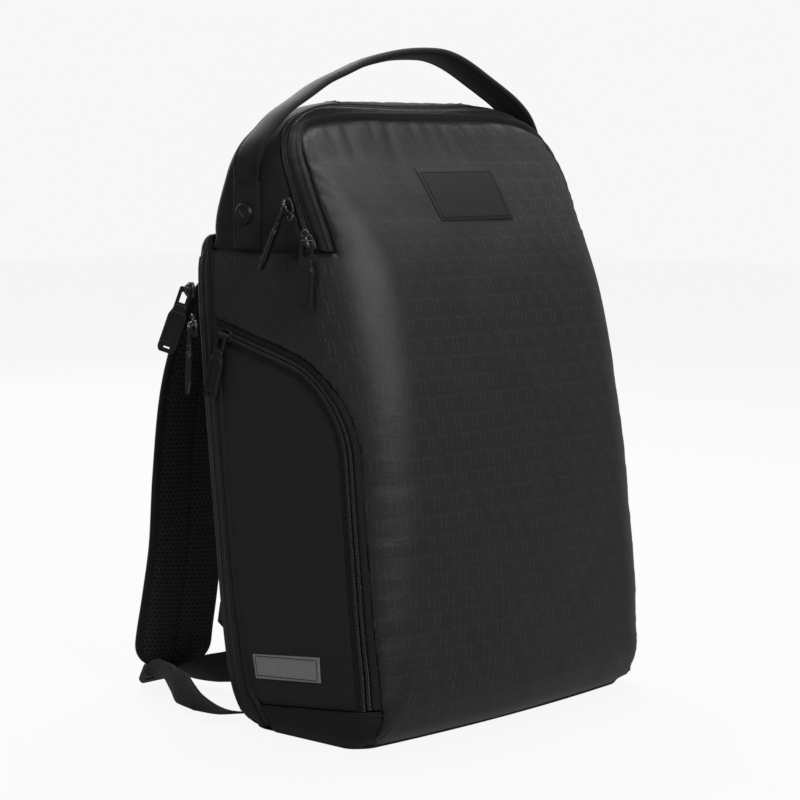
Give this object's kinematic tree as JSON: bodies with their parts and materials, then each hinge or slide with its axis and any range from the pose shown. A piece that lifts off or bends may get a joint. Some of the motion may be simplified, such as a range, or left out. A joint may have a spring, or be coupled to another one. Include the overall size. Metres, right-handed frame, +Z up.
{
  "type": "backpack carrying case",
  "caption": "Soft-sided backpack carrying case with a fold-down top lid, arched zip side doors, a rear slot, a padded carry handle and two padded shoulder straps.",
  "frame": {"origin": "on the floor under the base: the middle of the width, on the line where the side walls meet the base a little behind its centre", "axes": "+Z up, +X to the right seen from the front, the front faces -Y and the straps are at +Y"},
  "size_m": [0.3374, 0.3004, 0.4904],
  "materials": {
    "ripstop": "ripstop nylon with a fine weave and a soft sheen",
    "softshell": "smooth matte stretch fabric over foam",
    "base_fabric": "tough coated fabric",
    "zip_tape": "twill tape with a nylon coil",
    "webbing": "ribbed woven webbing",
    "air_mesh": "open spacer mesh over foam",
    "lining": "brushed lining over foam",
    "gunmetal": "satin gunmetal",
    "plastic": "grained acetal",
    "reflective": "grey reflective tape",
    "rubber_patch": "matte moulded rubber"
  },
  "bodies": {
    "shell": {"base_plate": "base_fabric", "front_panel": "ripstop", "base_side_left": "base_fabric", "base_side_right": "base_fabric", "side_panel_left": "softshell", "side_panel_right": "softshell", "side_zip_left": "zip_tape", "side_zip_right": "zip_tape", "top_band": "softshell", "upper_back": "softshell", "main_zip_tape": "zip_tape", "laptop_wall": "lining", "padded_shelf": "lining", "lower_divider": "lining", "rear_gusset_left": "softshell", "rear_gusset_right": "softshell", "rear_zip": "zip_tape", "back_panel": "softshell", "back_pad_left": "air_mesh", "back_pad_right": "air_mesh", "lumbar_pad": "air_mesh", "strap_yoke": "webbing", "handle_tab_left": "softshell", "handle_tab_right": "softshell", "rivet_left": "gunmetal", "rivet_right": "gunmetal", "side_label": "reflective"},
    "lid": {"lid": "ripstop", "lid_piping": "softshell", "lid_zip_tape": "zip_tape", "lid_patch": "rubber_patch"},
    "side_door_left": {"door_left": "softshell", "door_zip_left": "zip_tape"},
    "side_door_right": {"door_right": "softshell", "door_zip_right": "zip_tape"},
    "rear_flap": {"rear_flap": "softshell"},
    "handle": {"handle": "softshell"},
    "strap_left": {"shoulder_strap_left": "air_mesh", "webbing_left": "webbing", "webbing_tail_left": "webbing"},
    "strap_right": {"shoulder_strap_right": "air_mesh", "webbing_right": "webbing", "webbing_tail_right": "webbing"},
    "lock_left": {"ladder_lock_left": "plastic"},
    "lock_right": {"ladder_lock_right": "plastic"},
    "main_slider_upper": {"main_slider_upper": "gunmetal"},
    "main_puller_upper": {"main_puller_upper": "gunmetal"},
    "main_slider_lower": {"main_slider_lower": "gunmetal"},
    "main_puller_lower": {"main_puller_lower": "gunmetal"},
    "rear_slider_upper": {"rear_slider_upper": "gunmetal"},
    "rear_puller_upper": {"rear_puller_upper": "gunmetal"},
    "rear_slider_lower": {"rear_slider_lower": "gunmetal"},
    "rear_puller_lower": {"rear_puller_lower": "gunmetal"},
    "door_slider_left": {"door_slider_left": "gunmetal"},
    "door_puller_left": {"door_puller_left": "gunmetal"},
    "door_slider_right": {"door_slider_right": "gunmetal"},
    "door_puller_right": {"door_puller_right": "gunmetal"}
  },
  "joints": [
    {"name": "lid_fold", "type": "hinge", "parent": "shell", "child": "lid", "pos_m": [0, -0.0705, 0.3443], "axis": [1, 0, 0], "range_deg": [0, 150]},
    {"name": "side_door_left_fold", "type": "hinge", "parent": "shell", "child": "side_door_left", "pos_m": [-0.1532, -0.01976, 0.15864], "axis": [-0.0148, -0.4898, -0.8717], "range_deg": [0, 105]},
    {"name": "side_door_right_fold", "type": "hinge", "parent": "shell", "child": "side_door_right", "pos_m": [0.1532, -0.01976, 0.15864], "axis": [-0.0148, 0.4898, 0.8717], "range_deg": [0, 105]},
    {"name": "rear_flap_lift", "type": "hinge", "parent": "shell", "child": "rear_flap", "pos_m": [0, 0.0679, 0.355], "axis": [1, 0, 0], "range_deg": [0, 75]},
    {"name": "handle_swing", "type": "hinge", "parent": "shell", "child": "handle", "pos_m": [0, 0.027, 0.394], "axis": [1, 0, 0], "range_deg": [-40, 15]},
    {"name": "strap_left_swing", "type": "hinge", "parent": "shell", "child": "strap_left", "pos_m": [-0.057, 0.0935, 0.323], "axis": [1, 0, 0], "range_deg": [-5, 35], "deforming": ["webbing_left", "webbing_tail_left"]},
    {"name": "lock_left_tilt", "type": "hinge", "parent": "strap_left", "child": "lock_left", "pos_m": [-0.098, 0.1785, 0.0182], "axis": [1, 0, 0], "range_deg": [-10, 25]},
    {"name": "strap_right_swing", "type": "hinge", "parent": "shell", "child": "strap_right", "pos_m": [0.057, 0.0935, 0.323], "axis": [1, 0, 0], "range_deg": [-5, 35], "deforming": ["webbing_right", "webbing_tail_right"]},
    {"name": "lock_right_tilt", "type": "hinge", "parent": "strap_right", "child": "lock_right", "pos_m": [0.098, 0.1785, 0.0182], "axis": [1, 0, 0], "range_deg": [-10, 25]},
    {"name": "main_slider_upper_travel", "type": "slide", "parent": "shell", "child": "main_slider_upper", "axis": [0.02, 0.3997, 0.9164], "range_m": [0, 0.025]},
    {"name": "main_puller_upper_swing", "type": "hinge", "parent": "main_slider_upper", "child": "main_puller_upper", "pos_m": [-0.1565, -0.017, 0.376], "axis": [0.8617, 0.5064, 0.0314], "range_deg": [-5, 110]},
    {"name": "main_slider_lower_travel", "type": "slide", "parent": "shell", "child": "main_slider_lower", "axis": [0, 0.4202, 0.9074], "range_m": [0, 0.007]},
    {"name": "main_puller_lower_swing", "type": "hinge", "parent": "main_slider_lower", "child": "main_puller_lower", "pos_m": [-0.1545, -0.0365, 0.351], "axis": [-0.5271, 0.8477, 0.0603], "range_deg": [-3, 110]},
    {"name": "rear_slider_upper_travel", "type": "slide", "parent": "shell", "child": "rear_slider_upper", "axis": [0.02, 0.087, 0.996], "range_m": [0, 0.016]},
    {"name": "rear_puller_upper_swing", "type": "hinge", "parent": "rear_slider_upper", "child": "rear_puller_upper", "pos_m": [-0.157, 0.084, 0.314], "axis": [0.678, -0.6566, -0.3305], "range_deg": [-5, 100]},
    {"name": "rear_slider_lower_travel", "type": "slide", "parent": "shell", "child": "rear_slider_lower", "axis": [-0.02, -0.14, -0.99], "range_m": [0, 0.06]},
    {"name": "rear_puller_lower_swing", "type": "hinge", "parent": "rear_slider_lower", "child": "rear_puller_lower", "pos_m": [-0.155, 0.083, 0.286], "axis": [0.7315, 0.6818, -0.0083], "range_deg": [-8, 20]},
    {"name": "door_slider_left_travel", "type": "slide", "parent": "shell", "child": "door_slider_left", "axis": [-0.012, -0.9676, -0.2521], "range_m": [0, 0.06]},
    {"name": "door_puller_left_swing", "type": "hinge", "parent": "door_slider_left", "child": "door_puller_left", "pos_m": [-0.1528, 0.051, 0.283], "axis": [0, 0.9752, 0.2212], "range_deg": [-2, 120]},
    {"name": "door_slider_right_travel", "type": "slide", "parent": "shell", "child": "door_slider_right", "axis": [0.012, -0.9676, -0.2521], "range_m": [0, 0.06]},
    {"name": "door_puller_right_swing", "type": "hinge", "parent": "door_slider_right", "child": "door_puller_right", "pos_m": [0.1528, 0.051, 0.283], "axis": [0, -0.9752, -0.2212], "range_deg": [-2, 120]}
  ]
}
